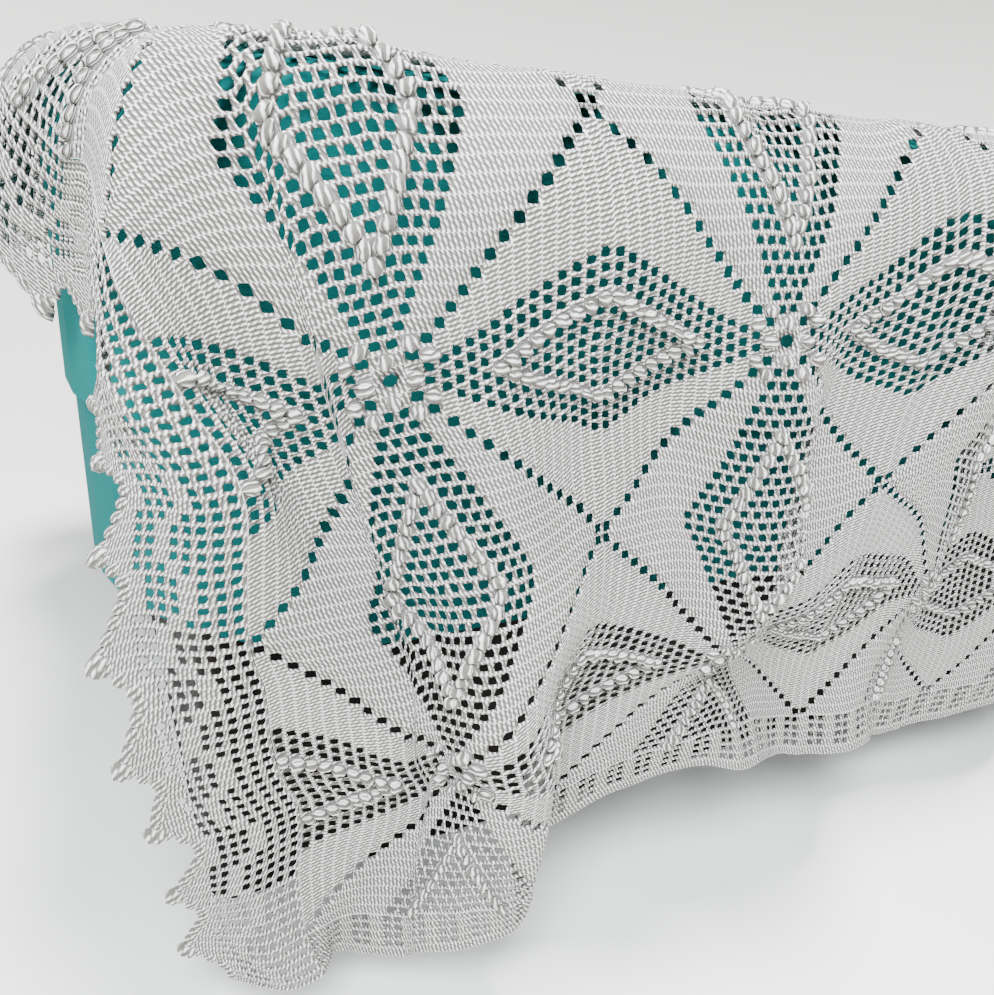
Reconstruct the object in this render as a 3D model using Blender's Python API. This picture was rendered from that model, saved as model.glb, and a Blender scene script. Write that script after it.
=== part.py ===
"""Crochet bedspread of joined squares, draped over a low bed.

World frame: metres, +Z up, the middle of the whole part at the origin, the plinth on z = 0.
+X runs along the bed, -Y faces the long side over which the spread hangs lowest.
The cloth is worked out in squares: u runs along the bed and v across it, the middle of
the first square being (0, 0). Each cloth piece is a thin closed solid on one draped surface.
"""
import bpy
import numpy as np

# ---- the bedspread, laid flat -------------------------------------------------------------
SQUARE = 0.240            # one crochet square, side
COLUMNS = 7               # squares along the bed
ROWS = 6                  # squares across the bed
LACE_BODY = 0.066         # lace edging, seam to the bottom of its teeth
LACE_TOOTH = 0.022        # lace edging, height of a tooth
TEETH_PER_SQUARE = 4
BORDER = 0.038            # straight border along the two long sides
CLOTH = 0.002             # thickness of the crochet
SEAM_GAP = 0.0005         # between two pieces that are joined
CELLS = 6                 # mesh cells along one square

# ---- the bed ------------------------------------------------------------------------------
BED_LENGTH = 1.570
BED_WIDTH = 0.800
MATTRESS_HEIGHT = 0.200
MATTRESS_ROUND = 0.070    # radius of the mattress's top edges
BED_CORNER = 0.180        # radius of the bed's corners, seen from above
BASE_HEIGHT = 0.130
BASE_INSET = 0.006
PLINTH_HEIGHT = 0.270
PLINTH_INSET = {"side": 0.076, "end": 0.060}
PLINTH_CORNER = 0.020
STACK_GAP = 0.0003
CORNER_STEPS = 8          # flats round a corner, and up a rounded top edge
TOP_STEPS = 6
BED_TOP = PLINTH_HEIGHT + BASE_HEIGHT + MATTRESS_HEIGHT + 2 * STACK_GAP

# ---- how the spread lies ------------------------------------------------------------------
SKEW = 0.072              # radians that the spread lies turned on the bed
FIRST_X = 0.122           # middle of square (0, 0), from the bed's left end
FIRST_Y = -0.162          # and from its front face, before the edge turns down
REST_GAP = 0.0003         # cloth above the mattress
TURN_RADIUS = 0.046       # radius of the cloth over an edge
SIDE_CLEAR = 0.008        # hanging cloth's middle, in front of the mattress's side
TURN_START = TURN_RADIUS - SIDE_CLEAR

# ---- how it falls -------------------------------------------------------------------------
# Depths at which the tables below are given: metres of cloth past the top edge.
DEPTHS = (0.0, 0.12, 0.25, 0.37, 0.48, 0.60)

# Fold lines of the front, left to right. "squares" is where a line lies along the cloth at
# the last five depths, and "off_mm" how far it stands off the side there.
FRONT_FOLDS = (
    {"name": "corner ridge", "squares": (-0.50, -0.52, -0.51, -0.56, -0.52), "off_mm": (12, 47, 34, 23, 48)},
    {"name": "first valley", "squares": (-0.41, -0.27, -0.13, -0.24, -0.39), "off_mm": (6, 11, 44, 30, 28)},
    {"name": "great fold", "squares": (0.07, 0.13, 0.12, 0.20, 0.15), "off_mm": (46, 42, 83, 90, 77)},
    {"name": "fold back", "squares": (0.51, 0.47, 0.58, 0.48, 0.41), "off_mm": (50, 27, 44, 33, 22)},
    {"name": "dark valley", "squares": (0.85, 0.66, 0.76, 0.73, 0.82), "off_mm": (48, 22, 49, 44, 34)},
    {"name": "second fold", "squares": (1.01, 1.07, 1.03, 0.92, 1.26), "off_mm": (47, 64, 77, 47, 61)},
    {"name": "open valley", "squares": (1.28, 1.24, 1.18, 1.34, 1.45), "off_mm": (50, 42, 56, 30, 49)},
    {"name": "third fold", "squares": (1.75, 1.74, 1.91, 1.76, 1.70), "off_mm": (79, 76, 52, 45, 75)},
)
# The rest of the front, and the whole back, fall in folds of about equal width.
FAR_FOLDS = {"first": 2.35, "last": 6.20, "lines": 7, "dip_mm": 12, "crest_mm": 38}
BACK_FOLDS = {"first": -0.20, "last": 6.42, "lines": 11, "dip_mm": 6, "crest_mm": 30}
FOLD_WANDER = 0.10        # sideways drift of those fold lines, in squares

# Degrees that a corner's flap turns round the bed, at the last five depths. The flap at the
# front left hangs free of the corner, and the other three lie closer to the end.
FLAP_TURN = {
    "front left": (100, 55, 25, 24, 50),
    "front right": (60, 52, 48, 48, 48),
    "back left": (70, 60, 56, 56, 56),
    "back right": (74, 66, 62, 62, 62),
}
FLAP_TURN_WIDTH = 0.12             # squares over which it turns
FLAP_BACK = 0.064                  # the end's hem swings back from a corner by this much
FLAP_BACK_REACH = 0.110
FLAP_LIFT = {"rise": 0.040, "depth": 0.26, "reach": 0.12}
HEM_LIFT = {"rise": 0.058, "square": 0.97, "reach": 0.49}
BLEND_DEPTH = 0.180       # depth over which an end's hang passes into a corner flap
CORNER_EASE = 0.012       # rounding of that change
END_FOLLOW = 0.73         # share of its flat length that an end still runs past a corner
# The ends follow the bed's rounded corners: drawn in beside a corner, and flared at the hem.
END_CORNER = {"in": 0.035, "reach": 0.10}
END_FLARE = {"out": 0.030, "place": 0.060, "reach": 0.090}
END_WAVE = {"off": 0.014, "pitch": 0.31, "fade": 0.18}

GRID = 1.0 / 24.0         # step of the draped surface, in squares


def smooth_step(t):
    """Ease from 0 to 1."""
    t = np.clip(t, 0.0, 1.0)
    return t * t * (3.0 - 2.0 * t)


def smooth_least(a, b, ease):
    """The lesser of two values, with a rounded change from one to the other."""
    return 0.5 * (a + b - np.sqrt((a - b) ** 2 + ease**2))


def by_depth(values, depth):
    """Read a row of values, one for each of DEPTHS, at any depth, along a smooth curve."""
    xs = np.array(DEPTHS)
    ys = np.array(values, float)
    depth = np.clip(depth, xs[0], xs[-1])
    i = np.clip(np.searchsorted(xs, depth) - 1, 0, len(xs) - 2)
    slope = np.gradient(ys, xs)
    slope[0] = 0.0
    span = xs[i + 1] - xs[i]
    t = (depth - xs[i]) / span
    start = ys[i] * (2 * t**3 - 3 * t**2 + 1) + slope[i] * span * (t**3 - 2 * t**2 + t)
    end = ys[i + 1] * (3 * t**2 - 2 * t**3) + slope[i + 1] * span * (t**3 - t**2)
    return start + end


def edge_turn(past):
    """How far out and down the cloth is, at a length past the start of the rounded edge."""
    angle = np.clip(past / TURN_RADIUS, 0.0, np.pi / 2)
    out = TURN_RADIUS * np.sin(angle)
    down = TURN_RADIUS * (1 - np.cos(angle)) + np.maximum(past - TURN_RADIUS * np.pi / 2, 0)
    return out, down


def even_folds(spec):
    """Fold lines at about equal spacing, dips and crests in turn."""
    lines = []
    for k in range(spec["lines"]):
        place = spec["first"] + (spec["last"] - spec["first"]) * k / (spec["lines"] - 1)
        off = spec["crest_mm"] if k % 2 else spec["dip_mm"]
        drift = [FOLD_WANDER * np.sin(1.9 * k + 1.3 * level) for level in range(5)]
        grow = [off * (0.45 + 0.16 * level) for level in range(5)]
        lines.append({"squares": [place + d for d in drift], "off_mm": grow})
    return lines


def stand_off(folds, u, depth):
    """How far the folds push the cloth out, and where the first and last fold lines lie."""
    places = [by_depth((f["squares"][0],) + tuple(f["squares"]), depth) for f in folds]
    offs = [by_depth((0.0,) + tuple(f["off_mm"]), depth) / 1000.0 for f in folds]
    off = np.where(u <= places[0], offs[0], offs[-1])
    for k in range(len(folds) - 1):
        between = (u > places[k]) & (u <= places[k + 1])
        t = smooth_step((u - places[k]) / (places[k + 1] - places[k]))
        off = np.where(between, offs[k] * (1 - t) + offs[k + 1] * t, off)
    return off, places[0], places[-1]


def add_up(steps, start, axis_length):
    """Running sum of steps along the first axis, zero at row start."""
    total = np.zeros((axis_length, steps.shape[1]))
    total[1:] = np.cumsum(steps, axis=0)
    return total - total[start]


def hanging_side(folds, turns, u, past, past_end, end_down, flat_x, anchor_u):
    """One long side's fall: x, distance out from the turn's start, and depth below the top.

    Lengths along u and along v are both kept, so deep folds draw the cloth in and up.
    """
    off, first_line, last_line = stand_off(folds, u, past)
    out = edge_turn(past)[0] + off
    ray = np.hypot(past, past_end) + 1e-9
    lean = 0.5 * (past / ray)[:, 1:] + 0.5 * (past / ray)[:, :-1]
    run = np.diff(past, axis=1)
    fall = np.sqrt(np.maximum(run**2 - np.diff(out, axis=1)**2, 0.0))
    fall = np.where(past_end[:, 1:] > 0, np.sqrt(np.maximum(fall**2, 0.05 * run**2)) * lean, fall)
    down = np.zeros_like(past)
    down[:, 1:] = np.cumsum(fall, axis=1)
    down += end_down
    reach = (past - FLAP_LIFT["depth"]) / FLAP_LIFT["reach"]
    down -= FLAP_LIFT["rise"] * smooth_step(past_end / 0.15) * np.exp(-reach**2)

    along = SQUARE * GRID
    step = np.sqrt(np.maximum(along**2 - np.diff(down, axis=0)**2, 1e-12))
    out_step = np.clip(np.diff(out, axis=0), -0.95 * step, 0.95 * step)
    middle = 0.5 * (u[1:] + u[:-1])
    depth = 0.5 * (past[1:] + past[:-1])
    turn_left, turn_right = [np.radians(np.interp(depth, DEPTHS[1:], turn)) for turn in turns]
    left = smooth_step((first_line[1:] - middle) / FLAP_TURN_WIDTH)
    right = smooth_step((middle - last_line[1:]) / FLAP_TURN_WIDTH)
    angle = (1 - left - right) * np.arcsin(out_step / step) + left * turn_left - right * turn_right
    anchor = int(np.argmin(np.abs(u[:, 0] - anchor_u)))
    x = add_up(np.cos(angle) * step, anchor, len(u)) + flat_x[anchor]
    swing = add_up(np.sin(angle) * step, anchor, len(u))
    cols = np.arange(u.shape[1])
    at_first = np.argmin(np.abs(u - first_line), axis=0)
    at_last = np.argmin(np.abs(u - last_line), axis=0)
    out = np.where(u < first_line, out[at_first, cols] + swing - swing[at_first, cols], out)
    out = np.where(u > last_line, out[at_last, cols] + swing - swing[at_last, cols], out)
    return x, out, down


def draped_surface():
    """Mid-surface of the whole spread on a regular grid of (u, v), about the bed's middle."""
    us = np.arange(-0.92, COLUMNS - 0.07, GRID)
    vs = np.arange(-1.72, ROWS - 1.27, GRID)
    u, v = np.meshgrid(us, vs, indexing="ij")
    flat_x = FIRST_X + SQUARE * (np.cos(SKEW) * u - np.sin(SKEW) * v)
    flat_y = FIRST_Y + SQUARE * (np.sin(SKEW) * u + np.cos(SKEW) * v)
    back_start = BED_WIDTH - TURN_START
    to_corner = np.minimum(flat_y - TURN_START, back_start - flat_y)
    drawn_in = END_CORNER["in"] * (1 - smooth_step(to_corner / END_CORNER["reach"]))
    left_start = TURN_START + drawn_in
    right_start = BED_LENGTH - TURN_START - drawn_in

    past_left = np.maximum(left_start - flat_x, 0)
    past_right = np.maximum(flat_x - right_start, 0)
    past_end = past_left + past_right
    end_out, end_down = edge_turn(past_end)
    end_sign = np.where(past_left > 0, -1.0, 1.0)

    # The two ends hang straight down, with slight waves, and swing back near the corners.
    wave = 0.5 + 0.5 * np.cos(2 * np.pi * flat_y / END_WAVE["pitch"])
    wave *= smooth_step(to_corner / END_WAVE["fade"]) * smooth_step(past_end / 0.12)
    end_edge = np.where(past_left > 0, left_start, right_start)
    flare = END_FLARE["out"] * smooth_step((past_end - 0.03) / 0.11)
    flare *= np.exp(-((to_corner - END_FLARE["place"]) / END_FLARE["reach"]) ** 2)
    end_x = end_edge + end_sign * (end_out + END_WAVE["off"] * wave + flare)
    end_x = np.where(past_end > 0, end_x, flat_x)
    swing = FLAP_BACK * smooth_step((past_end - 0.03) / 0.11)
    near_front = np.exp(-np.maximum(flat_y - TURN_START, 0) / FLAP_BACK_REACH)
    near_back = np.exp(-np.maximum(back_start - flat_y, 0) / FLAP_BACK_REACH)
    held = np.clip(flat_y, TURN_START, back_start)
    end_y = held + END_FOLLOW * (flat_y - held) + swing * (near_front - near_back)
    x, y, down = end_x.copy(), end_y.copy(), end_down.copy()

    front = list(FRONT_FOLDS) + even_folds(FAR_FOLDS)
    back = even_folds(BACK_FOLDS)
    past_front = np.maximum(TURN_START - flat_y, 0)
    past_back = np.maximum(flat_y - back_start, 0)
    sides = (("front", front, past_front, -1, TURN_START), ("back", back, past_back, 1, back_start))
    for side, folds, past, sign, start in sides:
        flip = slice(None, None, -1) if sign < 0 else slice(None)
        parts = (u, past, past_end, end_down, flat_x)
        turns = (FLAP_TURN[side + " left"], FLAP_TURN[side + " right"])
        side_x, out, side_down = hanging_side(folds, turns, *[a[:, flip] for a in parts], anchor_u=1.6)
        side_x, out, side_down = side_x[:, flip], out[:, flip], side_down[:, flip]
        if sign < 0:
            reach = (u - HEM_LIFT["square"]) / HEM_LIFT["reach"]
            side_down = side_down - HEM_LIFT["rise"] * np.exp(-reach**2) * smooth_step((past - 0.30) / 0.28)
        # Past an end the cloth stays in line with the end's hang until the side's fold takes it.
        end_reach = sign * (end_y - start)
        corner_out = smooth_least(end_reach, out, CORNER_EASE)
        round_corner = smooth_step(past_end / 0.03)
        blend_y = start + sign * (out * (1 - round_corner) + corner_out * round_corner)
        low = smooth_step(past / BLEND_DEPTH)
        blend_x = end_x * (1 - low) + side_x * low
        hangs = past > 0
        x = np.where(hangs, blend_x, x)
        y = np.where(hangs, blend_y, y)
        down = np.where(hangs, side_down, down)
    z = BED_TOP + REST_GAP + CLOTH / 2 - down
    return us, vs, np.stack([x - BED_LENGTH / 2, y - BED_WIDTH / 2, z], axis=-1)


US, VS, SURFACE = draped_surface()


def cubic_weights(t):
    """Catmull-Rom weights of four neighbours at t between the middle two."""
    return np.stack([
        0.5 * (-t + 2 * t**2 - t**3),
        0.5 * (2 - 5 * t**2 + 3 * t**3),
        0.5 * (t + 4 * t**2 - 3 * t**3),
        0.5 * (t**3 - t**2),
    ], axis=-1)


def on_cloth(u, v):
    """Points of the draped mid-surface at cloth places u, v (arrays of one shape)."""
    a = np.clip((np.asarray(u, float) - US[0]) / GRID, 1, len(US) - 2.001)
    b = np.clip((np.asarray(v, float) - VS[0]) / GRID, 1, len(VS) - 2.001)
    i, j = a.astype(int), b.astype(int)
    wu, wv = cubic_weights(a - i), cubic_weights(b - j)
    point = np.zeros(i.shape + (3,))
    for m in range(4):
        for n in range(4):
            weight = (wu[..., m] * wv[..., n])[..., None]
            point += weight * SURFACE[i + m - 1, j + n - 1]
    return point


def cloth_normals(u, v):
    """Unit normals of the mid-surface, on the spread's upper side."""
    h = 0.5 * GRID
    across = np.cross(on_cloth(u + h, v) - on_cloth(u - h, v), on_cloth(u, v + h) - on_cloth(u, v - h))
    return across / np.linalg.norm(across, axis=-1, keepdims=True)


def plain_material(name, colour, roughness):
    """Principled material of one colour."""
    material = bpy.data.materials.new(name)
    material.use_nodes = True
    shader = material.node_tree.nodes["Principled BSDF"]
    shader.inputs["Base Color"].default_value = (*colour, 1.0)
    shader.inputs["Roughness"].default_value = roughness
    shader.inputs["Metallic"].default_value = 0.0
    return material


def add_mesh(name, vertices, faces, material, smooth):
    """Object from vertices and faces, with its faces turned outward."""
    mesh = bpy.data.meshes.new(name)
    mesh.from_pydata([tuple(p) for p in vertices], [], faces)
    mesh.validate()
    mesh.materials.append(material)
    mesh.polygons.foreach_set("use_smooth", [smooth] * len(mesh.polygons))
    piece = bpy.data.objects.new(name, mesh)
    bpy.context.scene.collection.objects.link(piece)
    return piece


def cloth_solid(name, places, faces, rim, material):
    """Closed thin solid from cloth places, faces on the upper side and the rim around them.

    places is a list of (u, v); faces are index tuples, counter-clockwise seen from above;
    rim is the closed loop of border indices, also counter-clockwise.
    """
    uv = np.array(places, float)
    middle = on_cloth(uv[:, 0], uv[:, 1])
    shift = cloth_normals(uv[:, 0], uv[:, 1]) * (CLOTH / 2)
    vertices = np.concatenate([middle + shift, middle - shift])
    count = len(uv)
    # Both sides are split along the same diagonals, so that they stay one thickness apart.
    upper = []
    for face in faces:
        upper += [(face[0], face[k], face[k + 1]) for k in range(1, len(face) - 1)]
    under = [tuple(i + count for i in reversed(face)) for face in upper]
    edge = []
    for k, b in enumerate(rim):
        a = rim[k - 1]
        # Both pieces at a seam split its side faces along the same diagonal.
        if sum(places[a]) < sum(places[b]):
            edge += [(b, a, b + count), (a, a + count, b + count)]
        else:
            edge += [(b, a, a + count), (b, a + count, b + count)]
    return add_mesh(name, vertices, upper + under + edge, material, True)


def grid_piece(name, us, vs, material):
    """Cloth solid on a rectangle of cloth places."""
    nu, nv = len(us), len(vs)
    places = [(a, b) for a in us for b in vs]
    faces = []
    for i in range(nu - 1):
        for j in range(nv - 1):
            corner = i * nv + j
            faces.append((corner, corner + nv, corner + nv + 1, corner + 1))
    rim = [i * nv for i in range(nu)]
    rim += [(nu - 1) * nv + j for j in range(1, nv)]
    rim += [i * nv + nv - 1 for i in range(nu - 2, -1, -1)]
    rim += [j for j in range(nv - 2, 0, -1)]
    return cloth_solid(name, places, faces, rim, material)


def lace_edging(name, seam_u, outward, vs, material):
    """Edging strip with pointed teeth, from its seam outward (outward is -1 or +1)."""
    across = [SEAM_GAP, LACE_BODY / 3, LACE_BODY * 2 / 3]
    columns = [seam_u + outward * a / SQUARE for a in across]
    places = [(a, b) for a in columns for b in vs]
    nv = len(vs)
    faces = []
    for i in range(len(columns) - 1):
        for j in range(nv - 1):
            corner = i * nv + j
            faces.append((corner, corner + nv, corner + nv + 1, corner + 1))
    half_pitch = 0.5 / TEETH_PER_SQUARE
    tip_rows = np.arange(-1.5, ROWS - 1.5 + half_pitch / 2, half_pitch)
    outer_v = [vs[0]] + [tip_rows[0] - half_pitch] + list(tip_rows) + [tip_rows[-1] + half_pitch] + [vs[-1]]
    start = len(places)
    for k, row in enumerate(outer_v):
        tip = 0 < k < len(outer_v) - 1 and k % 2 == 0
        reach = LACE_BODY + (LACE_TOOTH if tip else 0.0)
        places.append((seam_u + outward * reach / SQUARE, row))
    inner = [(len(columns) - 1) * nv + j for j in range(nv)]
    outer = [start + k for k in range(len(outer_v))]
    faces += zip_strip(inner, vs, outer, outer_v)
    rim = [0] + [i * nv for i in range(1, len(columns))] + outer
    rim += [i * nv + nv - 1 for i in range(len(columns) - 1, -1, -1)]
    rim += [j for j in range(nv - 2, 0, -1)]
    if outward < 0:
        faces = [tuple(reversed(face)) for face in faces]
        rim = list(reversed(rim))
    return cloth_solid(name, places, faces, rim, material)


def zip_strip(inner, inner_v, outer, outer_v):
    """Triangles between two border lines whose points lie at different v."""
    faces = []
    i = j = 0
    while i < len(inner) - 1 or j < len(outer) - 1:
        inner_next = i < len(inner) - 1 and (j == len(outer) - 1 or inner_v[i + 1] <= outer_v[j + 1])
        if inner_next:
            faces.append((inner[i], outer[j], inner[i + 1]))
            i += 1
        else:
            faces.append((inner[i], outer[j], outer[j + 1]))
            j += 1
    return faces


def soft_block(name, length, width, height, bottom, corner, top_round, material):
    """Upright block with rounded corners, and with a rounded top edge if top_round isn't 0."""
    mesh = bpy.data.meshes.new(name)
    levels = [(0.0, 0.0)]
    for k in range(TOP_STEPS + 1 if top_round else 1):
        turn = 0.5 * np.pi * k / TOP_STEPS
        levels.append((height - top_round * (1 - np.sin(turn)), top_round * (1 - np.cos(turn))))
    vertices = []
    for level, drawn_in in levels:
        for quarter in range(4):
            middle_x = (length / 2 - corner) * (1, -1, -1, 1)[quarter]
            middle_y = (width / 2 - corner) * (1, 1, -1, -1)[quarter]
            for k in range(CORNER_STEPS + 1):
                turn = 0.5 * np.pi * (quarter + k / CORNER_STEPS)
                reach = corner - drawn_in
                x, y = middle_x + reach * np.cos(turn), middle_y + reach * np.sin(turn)
                vertices.append((x, y, bottom + level))
    around = 4 * (CORNER_STEPS + 1)
    faces = [tuple(reversed(range(around)))]
    for k in range(len(levels) - 1):
        low, high = k * around, (k + 1) * around
        ahead = [(a + 1) % around for a in range(around)]
        faces += [(low + a, low + b, high + b, high + a) for a, b in enumerate(ahead)]
    faces.append(tuple(range(len(vertices) - around, len(vertices))))
    mesh.from_pydata(vertices, [], faces)
    mesh.materials.append(material)
    mesh.polygons.foreach_set("use_smooth", [0 < k < len(faces) - 1 for k in range(len(faces))])
    block = bpy.data.objects.new(name, mesh)
    bpy.context.scene.collection.objects.link(block)
    return block


def build_bed():
    """Plinth, upholstered base and mattress, one on the other."""
    wood = plain_material("dark plinth wood", (0.035, 0.022, 0.016), 0.55)
    teal = plain_material("teal base fabric", (0.012, 0.30, 0.30), 0.85)
    ticking = plain_material("teal mattress cover", (0.014, 0.34, 0.34), 0.80)
    level = 0.0
    length, width = BED_LENGTH - 2 * PLINTH_INSET["end"], BED_WIDTH - 2 * PLINTH_INSET["side"]
    soft_block("plinth", length, width, PLINTH_HEIGHT, level, PLINTH_CORNER, 0.0, wood)
    level += PLINTH_HEIGHT + STACK_GAP
    length, width = BED_LENGTH - 2 * BASE_INSET, BED_WIDTH - 2 * BASE_INSET
    soft_block("bed_base", length, width, BASE_HEIGHT, level, BED_CORNER - BASE_INSET, 0.0, teal)
    level += BASE_HEIGHT + STACK_GAP
    soft_block("mattress", BED_LENGTH, BED_WIDTH, MATTRESS_HEIGHT, level, BED_CORNER, MATTRESS_ROUND, ticking)


def build_bedspread():
    """The joined squares, two lace edgings on the ends and two borders on the long sides."""
    cotton = {
        "field_of_squares": plain_material("cotton, squares", (0.76, 0.76, 0.73), 0.9),
        "lace": plain_material("cotton, lace edging", (0.78, 0.78, 0.75), 0.9),
        "border": plain_material("cotton, border", (0.74, 0.74, 0.71), 0.9),
    }
    left, right = -0.5, COLUMNS - 0.5
    front, back = -1.5, ROWS - 1.5
    gap = SEAM_GAP / SQUARE
    deep = BORDER / SQUARE
    field_u = np.linspace(left, right, COLUMNS * CELLS + 1)
    field_v = np.linspace(front, back, ROWS * CELLS + 1)
    grid_piece("field_of_squares", field_u, field_v, cotton["field_of_squares"])
    lace_v = [front - deep] + list(field_v) + [back + deep]
    lace_edging("lace_edging_left", left, -1, lace_v, cotton["lace"])
    lace_edging("lace_edging_right", right, 1, lace_v, cotton["lace"])
    grid_piece("border_front", field_u, np.array([front - deep, front - gap]), cotton["border"])
    grid_piece("border_back", field_u, np.array([back + gap, back + deep]), cotton["border"])


def centre_on_origin():
    """Move every piece so that the whole part's box stands centred on the origin."""
    graph = bpy.context.evaluated_depsgraph_get()
    pieces = [o for o in bpy.data.objects if o.type == "MESH"]
    corners = np.array([corner[:] for o in pieces for corner in o.evaluated_get(graph).bound_box])
    middle = (corners.min(axis=0) + corners.max(axis=0)) / 2
    for piece in pieces:
        piece.location = (-middle[0], -middle[1], 0.0)


def main():
    for old in list(bpy.data.objects):
        bpy.data.objects.remove(old)
    build_bed()
    build_bedspread()
    centre_on_origin()


main()
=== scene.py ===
"""Crochet bedspread of joined squares, draped over a low bed: its looks, built round the frame.

World frame: metres, +Z up, +X along the bed, -Y the long side over which the spread hangs lowest.
The crochet is planned flat, in cells of one mesh hole, and then laid on the draped surface.
"""

import bpy
import numpy as np
from mathutils import Matrix, Vector


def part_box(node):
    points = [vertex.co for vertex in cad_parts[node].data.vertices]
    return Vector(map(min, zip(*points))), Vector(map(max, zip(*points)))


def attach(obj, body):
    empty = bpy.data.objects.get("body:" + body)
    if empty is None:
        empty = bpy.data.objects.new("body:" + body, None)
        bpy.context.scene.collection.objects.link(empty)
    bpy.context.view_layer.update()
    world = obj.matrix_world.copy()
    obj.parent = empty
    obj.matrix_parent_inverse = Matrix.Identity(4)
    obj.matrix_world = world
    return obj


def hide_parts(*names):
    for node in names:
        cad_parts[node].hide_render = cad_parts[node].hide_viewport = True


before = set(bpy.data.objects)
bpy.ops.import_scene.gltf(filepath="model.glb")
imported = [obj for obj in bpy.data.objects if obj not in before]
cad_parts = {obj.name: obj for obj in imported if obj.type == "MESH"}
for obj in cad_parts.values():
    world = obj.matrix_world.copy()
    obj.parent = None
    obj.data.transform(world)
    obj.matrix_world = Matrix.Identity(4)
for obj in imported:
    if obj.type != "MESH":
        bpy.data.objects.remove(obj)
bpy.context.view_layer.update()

bl_info = {
    "name": "Crochet bedspread",
    "version": (1, 0, 0),
    "blender": (4, 5, 0),
    "location": "View3D > Sidebar > Bedspread",
    "description": "Works the squares, lace edgings and borders of a crochet bedspread on a low bed",
    "category": "Object",
}

# ---- the bedspread, laid flat ----
SQUARE = 0.240            # one crochet square, side
COLUMNS = 7               # squares along the bed
ROWS = 6                  # squares across the bed
ROUNDS = 16               # rounds worked in one square
CLOTH = 0.002             # thickness of the crochet
SEAM_GAP = 0.0005         # between two pieces that are joined

# ---- the bed ----
BED_LOW, BED_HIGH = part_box("mattress")
BED_LENGTH = BED_HIGH.x - BED_LOW.x
BED_WIDTH = BED_HIGH.y - BED_LOW.y
BED_TOP = BED_HIGH.z

# ---- how the spread lies ----
SKEW = 0.072              # radians that the spread lies turned on the bed
FIRST_X = 0.122           # middle of square (0, 0), from the bed's left end
FIRST_Y = -0.162          # and from its front face, before the edge turns down
REST_GAP = 0.0003         # cloth above the mattress
TURN_RADIUS = 0.046       # radius of the cloth over an edge
SIDE_CLEAR = 0.008        # hanging cloth's middle, in front of the mattress's side
TURN_START = TURN_RADIUS - SIDE_CLEAR
HELD_SQUARE = 1.6         # place along the spread that the hanging sides' lengths start from

# ---- how it falls ----
# Depths at which the tables below are given: metres of cloth past the top edge.
DEPTHS = (0.0, 0.12, 0.25, 0.37, 0.48, 0.60)

# Fold lines of the front, left to right. "squares" is where a line lies along the cloth at
# the last five depths, and "off_mm" how far it stands off the side there.
FRONT_FOLDS = (
    {"squares": (-0.50, -0.52, -0.51, -0.56, -0.52), "off_mm": (12, 47, 34, 23, 48)},       # corner ridge
    {"squares": (-0.41, -0.27, -0.13, -0.24, -0.39), "off_mm": (6, 11, 44, 30, 28)},        # first valley
    {"squares": (0.07, 0.13, 0.12, 0.20, 0.15), "off_mm": (46, 42, 83, 90, 77)},            # great fold
    {"squares": (0.51, 0.47, 0.58, 0.48, 0.41), "off_mm": (50, 27, 44, 33, 22)},            # fold back
    {"squares": (0.85, 0.66, 0.76, 0.73, 0.82), "off_mm": (48, 22, 49, 44, 34)},            # dark valley
    {"squares": (1.01, 1.07, 1.03, 0.92, 1.26), "off_mm": (47, 64, 77, 47, 61)},            # second fold
    {"squares": (1.28, 1.24, 1.18, 1.34, 1.45), "off_mm": (50, 42, 56, 30, 49)},            # open valley
    {"squares": (1.75, 1.74, 1.91, 1.76, 1.70), "off_mm": (79, 76, 52, 45, 75)},            # third fold
)
# The rest of the front, and the whole back, fall in folds of about equal width.
FAR_FOLDS = {"first": 2.35, "last": 6.20, "lines": 7, "dip_mm": 12, "crest_mm": 38}
BACK_FOLDS = {"first": -0.20, "last": 6.42, "lines": 11, "dip_mm": 6, "crest_mm": 30}
FOLD_WANDER = 0.10        # sideways drift of those fold lines, in squares
FOLD_GROWTH = {"start": 0.45, "step": 0.16}    # share of their height at the first depth, and how it grows

# Degrees that a corner's flap turns round the bed, at the last five depths. The flap at the
# front left hangs free of the corner, and the other three lie closer to the end.
FLAP_TURN = {
    "front left": (100, 55, 25, 24, 50),
    "front right": (60, 52, 48, 48, 48),
    "back left": (70, 60, 56, 56, 56),
    "back right": (74, 66, 62, 62, 62),
}
FLAP_TURN_WIDTH = 0.12    # squares over which it turns
FLAP_BACK = {"by": 0.064, "reach": 0.110}      # the end's hem swings back from a corner
FLAP_LIFT = {"rise": 0.040, "depth": 0.26, "reach": 0.12, "past_end": 0.15}
HEM_LIFT = {"rise": 0.058, "square": 0.97, "reach": 0.49, "from": 0.30, "over": 0.28}
LEAST_FALL = 0.05         # least share of a step, squared, that still goes down in a corner flap
STEEPEST = 0.95           # and most of a step along a side that may go outwards
BLEND_DEPTH = 0.180       # depth over which an end's hang passes into a corner flap
CORNER_EASE = 0.012       # rounding of that change
# The ends follow the bed's rounded corners: drawn in beside a corner, and flared at the hem.
END_FOLLOW = 0.73         # share of its flat length that an end still runs past a corner
END_CORNER = {"in": 0.035, "reach": 0.10}
END_FLARE = {"out": 0.030, "place": 0.060, "reach": 0.090}
END_WAVE = {"off": 0.014, "pitch": 0.31, "fade": 0.18, "past_end": 0.12}
END_HELD = 0.03           # past an end's edge the cloth first hangs straight, and then swings
END_EASE = 0.11

GRID = 1.0 / 24.0         # step of the draped surface, in squares
GRID_ALONG = (-1.0, COLUMNS + 0.01)            # squares that it covers along the bed
GRID_ACROSS = (-1.72, ROWS - 1.27)             # and across


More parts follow.
